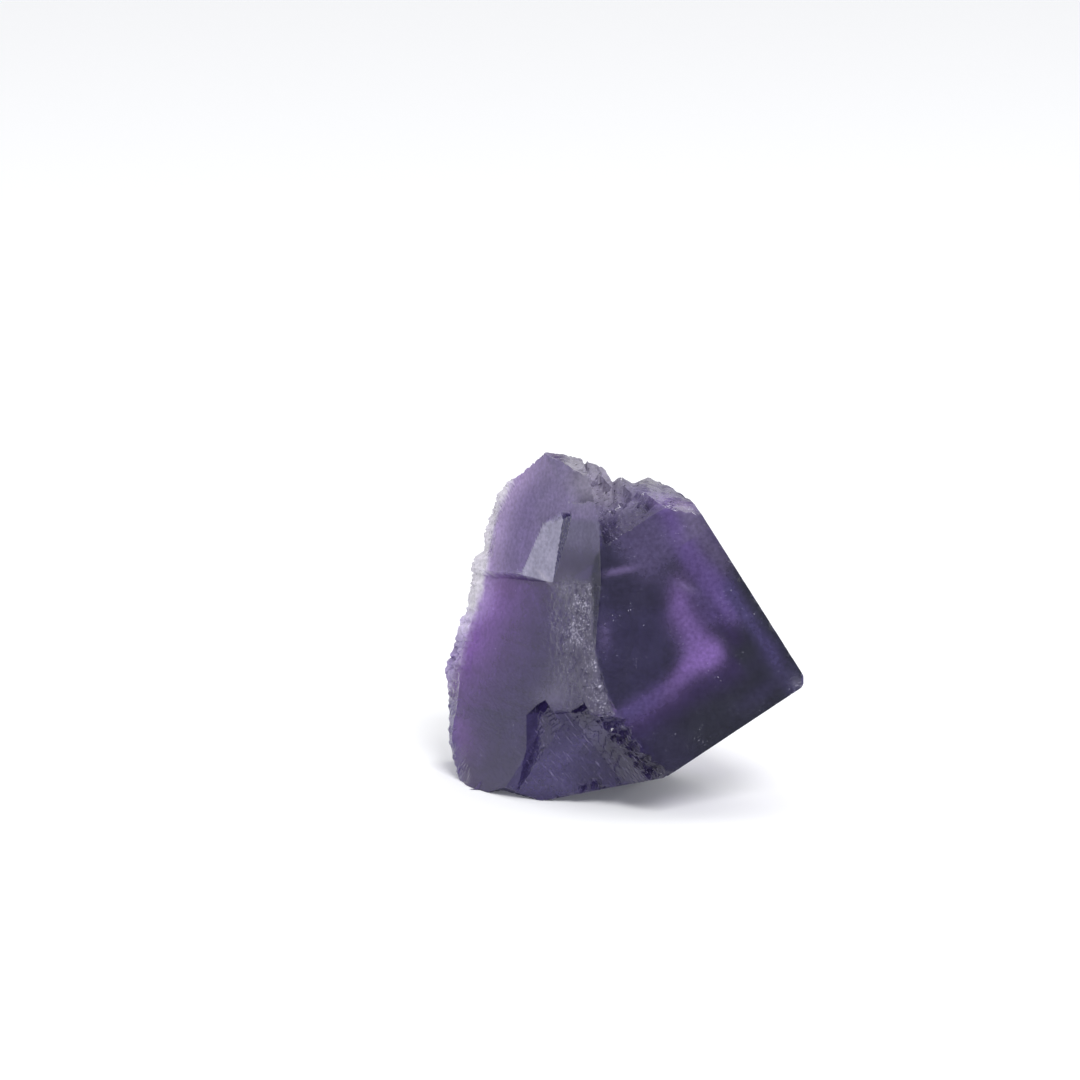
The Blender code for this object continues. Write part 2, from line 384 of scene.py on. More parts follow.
def snapToCreases(points, met, quads, held):
    # A vertex whose neighbour lies on another plane moves onto the line where the two planes
    # meet, if that line is within half a cell: the shortest step that satisfies both planes.
    pairs = edgePairs(quads, met)
    mover = np.concatenate([pairs[:, 0], pairs[:, 1]])
    other = np.concatenate([pairs[:, 1], pairs[:, 0]])
    n1, n2 = normals[met[mover]], normals[met[other]]
    g1 = distances[met[mover]] - np.sum(n1 * points[mover], 1)
    g2 = distances[met[other]] - np.sum(n2 * points[mover], 1)
    dot = np.sum(n1 * n2, 1)
    scale = 1.0 - dot**2
    clear = scale > 0.01
    scale = np.where(clear, scale, 1.0)
    step = ((g1 - dot * g2) / scale)[:, None] * n1 + ((g2 - dot * g1) / scale)[:, None] * n2
    length = np.linalg.norm(step, axis=1)
    cell = np.linalg.norm(points[mover] - points[other], axis=1)
    good = clear & (length < 0.56 * cell) & (length < 0.4) & ~held[mover]
    mover, step, length = mover[good], step[good], length[good]
    order = np.argsort(length, kind="stable")[::-1]
    shift = np.zeros_like(points)
    shift[mover[order]] = step[order]  # the shortest step is written last
    return points + shift


def lump(points, size, seed):
    # Smooth noise from 0 to 1: random values on a cubic lattice, blended between its corners.
    table = np.random.default_rng(seed).random((32, 32, 32))
    place = points / size + 100.0
    low = np.floor(place).astype(int)
    blend = place - low
    blend = blend * blend * (3.0 - 2.0 * blend)
    total = np.zeros(len(points))
    for dx in (0, 1):
        for dy in (0, 1):
            for dz in (0, 1):
                weight = np.abs(1 - dx - blend[:, 0])
                weight = weight * np.abs(1 - dy - blend[:, 1]) * np.abs(1 - dz - blend[:, 2])
                corner = (low + (dx, dy, dz)) % 32
                total += weight * table[corner[:, 0], corner[:, 1], corner[:, 2]]
    return total


def cells(points, size, seed):
    # The nearest of the jittered seeds, one to a lattice cube: its distance in sizes and a
    # random number of its own.
    rng = np.random.default_rng(seed)
    jitter = rng.random((32, 32, 32, 3))
    number = rng.random((32, 32, 32))
    place = points / size + 100.0
    low = np.floor(place).astype(int)
    nearest = np.full(len(points), np.inf)
    own = np.zeros(len(points))
    for dx in (-1, 0, 1):
        for dy in (-1, 0, 1):
            for dz in (-1, 0, 1):
                cube3 = low + (dx, dy, dz)
                key = tuple((cube3 % 32).T)
                gap = np.linalg.norm(cube3 + jitter[key] - place, axis=1)
                closer = gap < nearest
                nearest[closer] = gap[closer]
                own[closer] = number[key][closer]
    return nearest, own


def softStep(values, low, high):
    t = np.clip((values - low) / (high - low), 0.0, 1.0)
    return t * t * (3.0 - 2.0 * t)


def terraces(points, rays, outward, step, size, seed):
    # How far to go in along the ray to reach a step of the stair whose treads are parallel to
    # one of the two nearest octahedral cleavages, picked afresh in each cell of broken stone.
    _, own = cells(points + 0.6 * lump(points, 1.1, seed + 5)[:, None], size, seed)
    axes = np.array(cleavages)
    ranked = np.argsort(-(outward @ axes.T), axis=1)
    normal = axes[ranked[np.arange(len(rays)), (own > 0.6).astype(int)]]
    slope = np.maximum(np.sum(normal * rays, 1), 0.6)
    height = np.sum(normal * points, 1) / step + own * 7.0
    return (height - np.floor(height)) / slope


# How rough each finish is: how far its terraces and scoops go in, in mm, and the size of
# the broken cells.
reliefs = {
    "growth": (0.0, 0.0, 1.0),
    "cleavage": (0.0, 0.03, 3.0),
    "hackle": (0.30, 0.10, 3.4),
    "veil": (0.10, 0.05, 2.0),
    "edge": (0.22, 0.10, 1.2),
    "bite": (0.09, 0.01, 1.3),
    "pale": (0.0, 0.06, 1.6),
    "dark": (0.06, 0.05, 0.7),
    "ledge": (0.0, 0.0, 1.0),
    "worn": (0.0, 0.02, 0.5),
    "chip": (0.0, 0.04, 0.5),
    "base": (0.0, 0.0, 1.0),
}


# The left rim is stretched until it reaches these places: y and x in mm.
leftOutline = [
    (-15.4, -13.4), (-14.7, -14.1), (-13.8, -14.5), (-12.6, -14.8), (-11.7, -15.05),
    (-10.0, -15.45), (-7.4, -15.35), (-5.0, -15.5), (-3.5, -15.84), (-2.4, -15.6),
    (-1.2, -15.0), (0.0, -14.7), (1.2, -14.35), (2.2, -14.1), (2.5, -13.7), (3.5, -13.4),
    (5.6, -13.1), (7.3, -13.05), (8.1, -12.8), (9.0, -11.8), (10.4, -11.7),
    (12.2, -11.2), (13.9, -10.7), (15.0, -10.1), (15.5, -9.6), (16.0, -9.4), (16.2, -8.6),
]
# The top is stretched until it reaches these: x and y in mm.
topOutline = [
    (-4.8, 18.7), (-4.0, 18.65), (-2.0, 18.2), (-1.0, 17.8), (0.4, 17.2), (1.2, 16.0),
    (2.0, 16.3), (3.3, 15.6), (4.8, 16.3), (6.1, 15.75), (7.3, 15.2), (8.2, 14.5), (9.3, 13.8),
]


def fitRim(points):
    # Between the border of the left faces and the rim x grows in proportion, so that the rim
    # reaches the outline at every height.
    x, y, z = points.T
    wanted = np.array(leftOutline)
    rows = np.arange(wanted[0, 0], wanted[-1, 0], 0.25)
    reached = np.array([x[np.abs(y - row) < 0.2].min() for row in rows])
    goal = np.interp(rows, wanted[:, 0], wanted[:, 1])
    goal += np.random.default_rng(12).uniform(-0.1, 0.14, len(rows))  # chipped, not smooth
    border = np.maximum(-10.5 + 0.29 * np.minimum(rows - 6.0, 0.0), goal + 1.4)
    stretch = (goal - border) / (reached - border)
    inside = np.interp(y, [rows[0] - 1.0, rows[0], rows[-1], rows[-1] + 1.0], [0, 1, 1, 0])
    edge = np.interp(y, rows, border)
    gain = 1.0 + (np.interp(y, rows, stretch) - 1.0) * inside
    moved = np.where(x < edge, edge + (x - edge) * gain, x)
    return np.stack([moved, y, z], 1)


def fitTop(points):
    # Above a slanting base y grows in proportion, so that the top reaches its outline.
    x, y, z = points.T
    wanted = np.array(topOutline)
    columns = np.arange(wanted[0, 0], wanted[-1, 0], 0.25)
    reached = np.array([y[np.abs(x - column) < 0.2].max() for column in columns])
    base = 10.0 + 0.3 * columns
    stretch = (np.interp(columns, *wanted.T) - base) / (reached - base)
    fade = [columns[0] - 2.0, columns[0], columns[-1], columns[-1] + 0.8]
    inside = np.interp(x, fade, [0, 1, 1, 0])
    low = 10.0 + 0.3 * x
    gain = 1.0 + (np.interp(x, columns, stretch) - 1.0) * inside
    return np.stack([x, np.where(y > low, low + (y - low) * gain, y), z], 1)


# Where the front face begins: y and x in mm.
frontBorder = [
    (13.0, 0.3), (11.0, 0.1), (9.6, 0.0), (8.0, -0.8), (6.6, -0.95), (0.8, -0.8),
    (-2.2, -0.3), (-4.6, 0.4), (-6.1, 1.0), (-7.5, 1.7), (-10.0, 4.0),
]


def ridgeAmount(points, met):
    # How sugary the ridge between the left faces and the front is, from 0 to 1.
    x, y, z = points.T
    inset = alongTable(frontBorder, y) - x
    amount = softStep(inset, -0.2, 0.3) * np.exp(-((np.maximum(inset - 0.6, 0.0) / 2.8) ** 2))
    amount = amount * softStep(z, 0.5, 4.0) * (finishes[met] != "bite")
    return amount * softStep(y, -8.0, -6.6) * (1.0 - softStep(y, 5.4, 6.2))


def alongTable(table, at):
    keys, values = np.array(sorted(table)).T
    return np.interp(at, keys, values)


def band(values, centre, width):
    return np.exp(-(((values - centre) / width) ** 2))


def buildStone():
    grid, quads = boxGrid()
    _, met = castRays(toRays(grid), openings)
    grid, held = straightenWalls(grid, quads, met)
    reach, met = castRays(toRays(grid), openings)
    points = snapToCreases(toRays(grid) * reach[:, None], met, quads, held)
    rays = toRays(points)
    print("stone cast:", len(points), "points", len(quads), "quads")

    finish = finishes[met]
    stair = np.zeros(len(points))
    scoop = np.zeros(len(points))
    size = np.ones(len(points))
    for name, (stairDepth, scoopDepth, cellSize) in reliefs.items():
        own = finish == name
        stair[own] = stairDepth
        scoop[own] = scoopDepth
        size[own] = cellSize
    inward = np.zeros(len(points))
    for cellSize in sorted(set(size)):
        own = np.flatnonzero((size == cellSize) & (stair + scoop > 0.0))
        if len(own):
            near, _ = cells(points[own], cellSize, 3)
            bowl = np.clip(1.0 - near**2, 0.0, 1.0)
            inward[own] += scoop[own] * bowl
            outward = normals[met[own]]
            tread = 0.35 * cellSize
            steps = terraces(points[own], rays[own], outward, tread, cellSize, 9)
            inward[own] += steps * stair[own]
    ridge = ridgeAmount(points, met)
    grains = 0.6 * lump(points, 0.42, 77) + 0.4 * lump(points, 0.9, 78)
    inward += 0.34 * ridge * softStep(grains, 0.35, 0.7)
    inward -= 0.12 * np.isin(finish, ("edge", "hackle")) + 0.05 * (finish == "veil")
    points = points - rays * inward[:, None]
    return fitTop(fitRim(points)), quads, met


def splitQuads(points, quads):
    # Of a quad's two diagonals the one that lies further out is kept, so ridges stay sharp.
    one = np.linalg.norm(points[quads[:, 0]] + points[quads[:, 2]], axis=1)
    two = np.linalg.norm(points[quads[:, 1]] + points[quads[:, 3]], axis=1)
    first = (one >= two)[:, None]
    halfA = np.where(first, quads[:, [0, 1, 2]], quads[:, [0, 1, 3]])
    halfB = np.where(first, quads[:, [0, 2, 3]], quads[:, [1, 2, 3]])
    return np.concatenate([halfA, halfB])


def makeMesh(name, points, triangles):
    mesh = bpy.data.meshes.new(name)
    mesh.vertices.add(len(points))
    mesh.vertices.foreach_set("co", points.astype(np.float32).ravel())
    mesh.loops.add(len(triangles) * 3)
    mesh.loops.foreach_set("vertex_index", triangles.astype(np.int32).ravel())
    mesh.polygons.add(len(triangles))
    mesh.polygons.foreach_set("loop_start", np.arange(0, len(triangles) * 3, 3, dtype=np.int32))
    mesh.update(calc_edges=True)
    mesh.validate()
    item = bpy.data.objects.new(name, mesh)
    bpy.context.scene.collection.objects.link(item)
    return item


facePoints, quads, met = buildStone()
triangles = splitQuads(facePoints, quads)
placed = np.clip(toPart(facePoints), np.array(cadBox[0]), np.array(cadBox[1]))
stone = makeMesh("fluorite_crystal", placed, triangles)
print("stone meshed:", len(stone.data.polygons), "triangles")

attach(stone, "root")
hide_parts("crystal")

def hexColour(text):
    # An sRGB hex colour as linear values.
    values = [int(text[i : i + 2], 16) / 255.0 for i in (1, 3, 5)]
    return np.array([v / 12.92 if v <= 0.04045 else ((v + 0.055) / 1.055) ** 2.4 for v in values])


tints = {
    "outer": "#333441",  # the greenish grey outside of the cube
    "core": "#39364f",  # the navy inside of the cube
    "plum": "#3d3358",  # dark purple that borders the bright zones
    "zone": "#8f70ba",  # the bright purple growth zone inside the right and lower faces, with the glow of light let through it painted in
    "violet": "#685591",  # the broad zone close under the right face
    "rind": "#4d4670",  # the thin zone next to the cube's edges
    "haze": "#5b5277",  # haze in the top of the front face
    "cap": "#746b8c",
    "lilac": "#8c7bb0",  # streaks and haze of fine cracks
    "leftGrey": "#524e67",  # the left cleavage face, over the thick of the body
    # painted paler glow right at the thin left border
    "leftPaintedGlowPale": "#b9a4d6",
    "leftPaintedGlow": "#8f6ab4",  # the same face at its thin left border: painted glow of light coming through the thin wedge
    "upper": "#70658a",  # the layer above it
    # painted pale glow of light through the thin parts of that layer
    "upperPaleGlow": "#9d8db3",
    # painted violet glow of light through the end of the top plate
    "violetPaintedGlow": "#8a73b4",
    "brow": "#746c8a",
    "flat": "#656179",
    "flatLow": "#5a576f",
    "pale": "#9895aa",  # the whitish flake
    "bright": "#d6d1e4",  # painted highlight on its bevel, and other clean white chips
    "frost": "#5f5b72",
    "frostPale": "#7c7890",  # sugary broken ridge
    "rim": "#d9d4e0",  # clear upper part of the left rim: painted white light shining through it
    # painted lilac light through the rim further down
    "rimMidPaintedLight": "#d8cbee",
    "rimLowPaintedLight": "#a08fc0",
    "rimFoot": "#4b3680",
    "bite": "#403960",  # broken hollow at the foot
    "biteHaze": "#534b77",
    # painted shade in the hollow, its notches and the chip strip beside it
    "biteShade": "#272040",
    # painted shade in the crack, whose wall is turned from the light
    "crack": "#29224e",
    "ledge": "#5c527c",
    "top": "#94909f",
    "topHaze": "#857f99",
    "topPale": "#a39bb4",
    "hackle": "#776f90",
    "hackleLow": "#544f69",
    "peach": "#6f6588",
    "rindPale": "#77748a",
    "back": "#6f6290",
}

# How strongly the studio lights each kind of face, and the gloss that lies over it: the base
# colour is the tint less the gloss, over the light.
lightOn = {"front": 1.0, "left": 0.91, "upper": 0.62, "top": 0.8, "low": 1.0, "back": 0.9}
glossOn = {"front": 0.0, "left": 0.045, "upper": 0.045, "top": 0.03, "low": 0.01, "back": 0.03}

# Where the left faces end at the rim: y and x in mm.
leftBorder = [
    (-14.0, -14.6), (-8.0, -15.4), (-5.4, -15.1), (-3.4, -14.6), (-1.6, -14.0),
    (1.4, -13.0), (3.6, -12.1), (5.0, -11.7), (6.5, -11.4), (9.3, -11.0), (12.6, -10.2),
    (15.9, -8.6),
]

# How strongly the painted purple glow of light through the thin left border shows, by height: y in
# mm and the amount.
leftGlowStrength = [
    (-13.0, 0.25), (-11.6, 0.5), (-10.3, 0.8), (-8.8, 0.75), (-7.3, 0.45), (-5.8, 0.4),
    (-4.2, 0.6), (-1.2, 0.9), (1.9, 1.0), (5.0, 1.0), (7.0, 0.9),
]

# Soft patches of one tint: the tint, its middle, its reach along x, y and z, how many degrees
# it is turned in the x y plane, and its strength. All places are in mm.
patches = [
    ("lilac", (0.3, 0.6, 9.0), (0.7, 1.6, 2.0), 0, 0.2),  # haze by the ridge
    ("lilac", (1.9, 7.0, 9.0), (1.5, 0.36, 1.0), 12, 0.7),  # streak on a ledge
    ("lilac", (8.3, 5.4, 9.0), (1.0, 0.36, 1.0), -25, 0.5),  # streak at the end of the zone
    ("lilac", (7.4, 13.6, 8.0), (2.0, 0.6, 2.5), -12, 0.9),  # streak under the top plate
    ("haze", (11.4, 10.3, 9.0), (0.9, 2.2, 2.0), 33, 0.8),  # pale top of the right edge
    ("biteHaze", (-0.8, -9.4, 5.0), (3.6, 1.0, 5.0), 36, 0.8),  # haze across the hollow
    ("biteHaze", (-5.0, -12.2, 2.0), (2.2, 1.4, 4.0), 0, 0.6),
    ("biteHaze", (-5.0, -14.5, 1.0), (3.8, 1.0, 4.0), 0, 0.9),  # its smooth foot
    ("biteHaze", (2.6, -7.2, 9.0), (3.8, 0.8, 3.0), 32, 0.7),
    ("biteShade", (2.4, -12.0, 6.0), (2.6, 1.5, 4.0), -45, 0.8),  # painted shade on the right side of the hollow
    ("biteShade", (0.2, -13.4, 5.0), (2.2, 1.0, 4.0), 10, 0.6),
    ("biteShade", (3.7, -11.2, 7.5), (4.4, 1.5, 3.0), -50, 1.0),
    ("biteShade", (-1.1, -7.0, 5.0), (1.5, 1.3, 3.0), 20, 1.1),  # painted shade in the second notch
    ("biteShade", (-5.6, -7.4, 3.0), (1.4, 1.2, 3.0), 40, 0.5),  # and in the first
    ("biteShade", (1.7, -10.5, 6.0), (1.7, 1.3, 4.0), -35, 0.75),
    ("biteHaze", (-6.9, -11.6, 1.0), (0.7, 2.4, 3.0), -20, 0.6),  # the hollow's left wall
    ("frost", (-3.8, -4.2, 4.0), (1.7, 2.0, 3.0), 0, 0.75),  # haze at the foot of the ridge
    ("frostPale", (-4.2, -5.6, 3.0), (2.6, 1.0, 3.0), 0, 0.5),
    ("frostPale", (-3.4, 5.0, 5.0), (1.6, 1.6, 3.0), -50, 0.5),  # and at its head
    ("bright", (-0.9, 15.7, 3.5), (1.7, 2.0, 4.0), -40, 0.4),  # haze beside the brow
    ("violetPaintedGlow", (6.3, 13.9, 6.0), (1.5, 0.7, 4.0), -10, 0.9),  # bright end of the top plate: painted glow of light through it
    ("upperPaleGlow", (8.0, 13.4, 7.0), (1.0, 0.6, 3.0), -18, 0.9),
    ("top", (4.4, 15.9, 2.0), (3.0, 0.7, 5.0), -10, 0.9),  # its grey back edge
    ("topPale", (-0.1, 15.2, 3.0), (2.6, 1.6, 5.0), -35, 1.15),  # broken bright part beside it
    ("rindPale", (19.2, -4.0, 9.0), (0.6, 0.6, 1.5), 0, 0.6),  # frosted tip of the corner
    ("bright", (-5.75, 6.45, 3.0), (0.9, 0.16, 2.0), -47, 0.9),  # painted highlight on the bevel under the flake
    ("bright", (-6.75, -8.7, 1.5), (0.2, 0.3, 1.5), 30, 0.9),  # white chip beside the first notch
]


# Soft patches of white flecks, partly real grains and partly painted glints: middle, reach, turn
# and strength.
flecks = [
    ((3.6, -11.2, 7.5), (4.5, 1.6, 3.0), -50.0, 0.12),  # beside the hollow
    ((-10.6, 11.5, -3.0), (5.0, 0.5, 4.0), 80.0, 0.8),  # along the border of the upper layer
    ((-8.2, 6.6, -1.5), (1.6, 0.4, 3.0), -5.0, 1.0),  # on its lower edge
    ((-3.4, -4.6, 4.0), (0.9, 0.7, 2.0), 20.0, 0.5),  # at the foot of the ridge
]


def underLight(colour, part):
    return np.maximum(colour - glossOn[part], 0.004) / lightOn[part]


def mixTint(colour, name, amount):
    amount = np.clip(amount, 0.0, 1.0)[:, None]
    return colour * (1.0 - amount) + hexColour(tints[name]) * amount


def softPatch(points, place, reach, angle, strength):
    # A bell in all three directions, turned by angle in the x y plane.
    turned = math.radians(angle)
    away = points - np.array(place)
    along = (away[:, 0] * math.cos(turned) + away[:, 1] * math.sin(turned)) / reach[0]
    across = (away[:, 1] * math.cos(turned) - away[:, 0] * math.sin(turned)) / reach[1]
    return strength * np.exp(-(along**2) - across**2 - (away[:, 2] / reach[2]) ** 2)


def paintFront(points):
    # Growth zones are bands at fixed distances from the middle towards the cube's right face
    # (a) and lower face (b). The inner zone follows both and is brightest where they meet.
    # The zones are real colour; the glow of light through the bright inner zone is painted in.
    a, b = (points @ cubeAxes.T)[:, :2].T
    wander = (lump(points, 4.0, 41) - 0.5) * 0.7
    a, b = a + wander, b + 0.5 * wander
    nested = np.maximum(a - 1.3, b)
    colour = np.tile(hexColour(tints["outer"]), (len(points), 1))
    colour = mixTint(colour, "core", 1.0 - softStep(nested, 7.2, 9.2))
    colour = mixTint(colour, "core", 0.55 * band(b, 10.0, 1.0) * softStep(a, 5.0, 9.0))
    colour = mixTint(colour, "core", 0.8 * (1.0 - softStep(a, 0.0, 3.5)))
    colour = mixTint(colour, "plum", 0.9 * band(b, 9.0, 1.3) * (1.0 - softStep(a, 9.6, 10.6)))
    amount = 0.9 * band(a, 11.0, 1.1) * softStep(b, 2.0, 4.0) * (1.0 - softStep(b, 6.5, 8.5))
    colour = mixTint(colour, "plum", amount)
    amount = 0.4 * band(a, 10.2, 0.9) * softStep(b, 0.0, 1.5) * (1.0 - softStep(b, 3.5, 5.5))
    colour = mixTint(colour, "violet", amount)
    colour = mixTint(colour, "haze", softStep(-b, 1.2, 4.2) * softStep(a, 4.8, 8.5))
    colour = mixTint(colour, "haze", 0.3 * softStep(-b, -1.0, 1.0) * band(a, 8.6, 1.2))
    amount = 0.75 * band(a, 11.7, 0.9) * (1.0 - softStep(b, 1.5, 4.5)) * softStep(b, -6.0, 0.0)
    colour = mixTint(colour, "violet", amount)
    colour = mixTint(colour, "violet", band(a, 12.45, 1.15) * (1.0 - softStep(b, 4.0, 7.0)))
    colour = mixTint(colour, "rind", 0.95 * softStep(b, 0.5, 3.0) * band(a, 13.4, 0.8))
    colour = mixTint(colour, "rind", 0.35 * band(b, 12.7, 0.9) * softStep(a, 5.5, 10.5))
    colour = mixTint(colour, "outer", 0.5 * softStep(a + b, 23.5, 26.0))
    colour = mixTint(colour, "peach", 0.75 * band(a, 14.2, 1.3) * (1.0 - softStep(b, -1.5, 2.0)))
    x, y, _ = points.T
    cap = softStep(0.868 * y - 0.496 * x, 4.25, 4.45) * softStep(x, 6.8, 8.8)
    colour = mixTint(colour, "cap", 0.55 * cap)  # haze above a fine crack at the top right
    spine = 8.25 + 0.5 * np.maximum(1.6 - b, 0.0)
    width = np.where(a < spine, 1.5, 1.2 + 0.2 * softStep(-b, -1.0, 1.0))
    armA = 0.6 * band(a, spine, width) * softStep(b, -2.8, 1.2)
    armA = armA * (1.0 - softStep(b, 6.5, 8.5))
    spine = 7.45 - 0.85 * softStep(a, 3.0, 7.0)
    armB = (0.3 + 0.44 * softStep(a, 1.0, 7.0)) * band(b, spine, np.where(b > spine, 1.2, 0.9))
    armB = armB * (1.0 - softStep(a, 8.0, 9.6))
    fromA = (a - 7.9) / np.where(a > 7.9, 2.0, 1.6)
    fromB = (b - 6.4) / np.where(b > 6.4, 1.6, 1.3)
    vertex = np.exp(-(fromA**2) - fromB**2)
    vertex = vertex * (1.0 - softStep(a, 8.5, 10.3)) * (1.0 - softStep(b, 7.5, 9.4))
    colour = mixTint(colour, "zone", np.maximum(armA, armB))
    colour = mixTint(colour, "zone", 0.86 * vertex)
    return underLight(colour, "front")


def paintLeft(points, finish):
    # The wedge at the left border is thin and light comes through it: its purple glow is painted
    # in; further right it greys.
    x, y, z = points.T
    inset = np.maximum(x - alongTable(leftBorder, y), 0.0)
    colour = np.tile(hexColour(tints["leftGrey"]), (len(points), 1))
    depth = alongTable(leftGlowStrength, y)
    fade = np.where(y < -7.0, 2.0, 3.5)
    colour = mixTint(colour, "leftPaintedGlow", depth * np.exp(-((inset / fade) ** 1.4)))
    colour = mixTint(colour, "leftPaintedGlowPale", 0.6 * band(inset, 0.0, 1.3) * softStep(y, 0.0, 3.0))
    colour = underLight(colour, "left")

    # the layer above it, paler along the border and the brow where a glow of light through its thin
    # edge is painted, grey to the right of the crack
    upper = np.tile(hexColour(tints["upper"]), (len(points), 1))
    upper = mixTint(upper, "upperPaleGlow", 0.9 * np.exp(-((inset / 1.5) ** 2)))
    upper = mixTint(upper, "upperPaleGlow", 0.8 * softStep(y - 0.4 * x, 17.0, 20.5))
    right = softStep(x + 0.55 * (y - 14.0), -3.4, -2.9) * softStep(y, 11.0, 12.5)
    upper = mixTint(upper, "brow", np.maximum(right, 0.6 * softStep(x, -7.5, -5.5)))
    flat = softStep(x, -4.4, -3.9) * (1.0 - softStep(y, 11.6, 12.4))
    upper = mixTint(mixTint(upper, "flat", flat), "flatLow", flat * (1.0 - softStep(y, 7.5, 10.0)))
    upper[finish == "pale"] = hexColour(tints["pale"])
    high = softStep(points @ leftCleavage, 5.95, 6.3)
    high[finish == "pale"] = 1.0
    return colour + (underLight(upper, "upper") - colour) * high[:, None]


def paintSides(points):
    # On the cube's right and lower faces the zones are bands at fixed distances from the
    # nearest edge of the cube that the face ends at.
    a, b, c = (points @ cubeAxes.T).T
    inset = np.sort([cube["right"] - a, cube["lower"] - b, cube["front"] - c], axis=0)[1]
    inset = inset + (lump(points, 4.0, 41) - 0.5) * 0.9
    colour = np.tile(hexColour(tints["outer"]), (len(points), 1))
    colour = mixTint(colour, "core", softStep(inset, 8.0, 10.0))
    colour = mixTint(colour, "plum", 0.8 * band(inset, 5.2, 1.2))
    colour = mixTint(colour, "violet", 0.7 * band(inset, 2.2, 1.0))
    colour = mixTint(colour, "rind", 0.9 * band(inset, 0.9, 0.8))
    colour = mixTint(colour, "zone", 0.7 * band(inset, 7.4, 1.3))
    return colour * 1.15


def paintStone(points, met):
    a, b, c = (points @ cubeAxes.T).T
    x, y, z = points.T
    finish = finishes[met]
    outward = normals[met]
    border = alongTable(leftBorder, y)

    # the back: pale purple with the same nested zones carried round it
    colour = np.tile(hexColour(tints["back"]), (len(points), 1))
    nested = np.maximum(a - 1.3, b) + (lump(points, 4.0, 41) - 0.5) * 1.6
    zones = band(nested, 7.2, 1.3) + 0.8 * band(nested, 12.4, 1.2) + 0.6 * band(nested, 1.0, 1.6)
    colour = mixTint(colour, "core", 0.5 * softStep(nested, -4.0, 8.0))
    colour = underLight(mixTint(colour, "zone", 0.75 * zones), "back")

    above = y - 10.9 - 0.39 * x
    top = np.tile(hexColour(tints["hackleLow"]), (len(points), 1))
    top = mixTint(top, "hackle", softStep(above, 0.2, 1.6))
    top = mixTint(top, "topHaze", 0.8 * band(x - 0.35 * y, -6.5, 1.2) + softStep(above, 2.2, 3.6))
    top = underLight(mixTint(top, "top", softStep(above, 3.2, 5.0)), "top")
    low = underLight(np.tile(hexColour(tints["bite"]), (len(points), 1)), "low")
    front = paintFront(points)
    onLeft = (outward @ leftCleavage > 0.9)[:, None]  # the same paint under the left light
    ratio = lightOn["front"] / lightOn["left"]
    darkest = (0.005, 0.003, 0.022)
    relit = np.maximum(front * ratio - glossOn["left"] / lightOn["left"], darkest)
    front = np.where(onLeft, relit, front)
    left = paintLeft(points, finish)

    # Each face is painted by what it is; broken bits take the paint of where they lie.
    isTop = softStep(y - 0.55 * x, 8.5, 9.5) * softStep(x, -4.5, -3.0) * softStep(z, -4.0, -1.0)
    isLow = softStep(-y - 0.16 * x, 6.6, 7.4) * softStep(z + 0.35 * x, -3.0, -2.0)
    wobble = 0.5 * (lump(points, 0.8, 51) - 0.5)
    isFront = softStep(z, 7.3, 7.9) * softStep(x - alongTable(frontBorder, y) + wobble, -0.15, 0.15)
    isLeft = softStep(points @ leftCleavage, 3.6, 4.6) * softStep(x - border, -0.5, 0.0)
    isLeft[finish == "bite"] = 0.0
    isLow[finish == "bite"] = 1.0
    for part, paint in ((isLeft, left), (isTop, top), (isLow, low), (isFront, front)):
        colour = colour + (paint - colour) * part[:, None]
    side = (finish == "growth") & (c < 8.99)
    colour[side] = paintSides(points[side])
    colour[finish == "worn"] = hexColour(tints["rind"]) * 1.3
    # the crack wall is painted dark: painted shade
    colour[finish == "dark"] = hexColour(tints["crack"])
    colour[finish == "ledge"] = hexColour(tints["ledge"])
    plainLeft = (finish == "cleavage") & (outward @ leftCleavage > 0.9) | (finish == "pale")
    plain = plainLeft[:, None] * (1.0 - isFront[:, None])
    colour = colour + (left - colour) * plain

    # the sugary ridge between the left faces and the front
    ridge = ridgeAmount(points, met)
    colour = mixTint(colour, "frost", ridge)
    for name, place, reach, angle, strength in patches:
        amount = softPatch(points, place, reach, angle, strength)
        if name.startswith("frost"):
            amount = amount * (finish != "bite")
        colour = mixTint(colour, name, amount)

    # the rim beyond the left border: clear above, lilac below, with the light that shines through
    # it painted in
    beyond = softStep(border - x, -0.1, 0.3) * softStep(z, -15.0, -13.0)
    clearRim = beyond * softStep(y, 1.5, 3.5)
    colour = mixTint(colour, "rim", clearRim)
    amount = beyond * (1.0 - softStep(y, 1.5, 3.5)) * softStep(y, -1.5, 1.5)
    colour = mixTint(colour, "rimMidPaintedLight", amount)
    amount = beyond * (1.0 - softStep(y, -1.5, 1.5)) * softStep(y, -7.0, -5.6)
    colour = mixTint(colour, "rimLowPaintedLight", amount)
    foot = softStep(border + 0.9 - x, -0.3, 0.5) * (1.0 - softStep(y, -7.0, -5.6))
    colour = mixTint(colour, "rimFoot", foot * np.where(finish == "cleavage", 0.6, 1.0))
    broken = np.isin(finish, ("chip", "hackle", "veil", "edge", "bite"))
    grain = 0.9 * ridge + 0.25 * broken * (1.0 - 0.8 * isLow) + 0.12 * isFront
    for place, reach, angle, strength in flecks:
        grain = grain + softPatch(points, place, reach, angle, strength)
    grain = np.clip(grain, 0.0, 1.0)
    # the rim above its lowest part lets less light through than the body; its bright look is
    # painted
    clear = 0.42 - 0.22 * beyond * softStep(y, -6.0, -4.0)
    clear[np.isin(finish, ("dark", "ledge"))] = 0.0
    scratch = np.clip(isLow + 0.6 * isTop + 0.5 * broken + 0.6 * clearRim, 0.0, 1.0)
    scratch = scratch * (1.0 - plain[:, 0]) * (1.0 - isFront)
    return colour, grain, clear, scratch


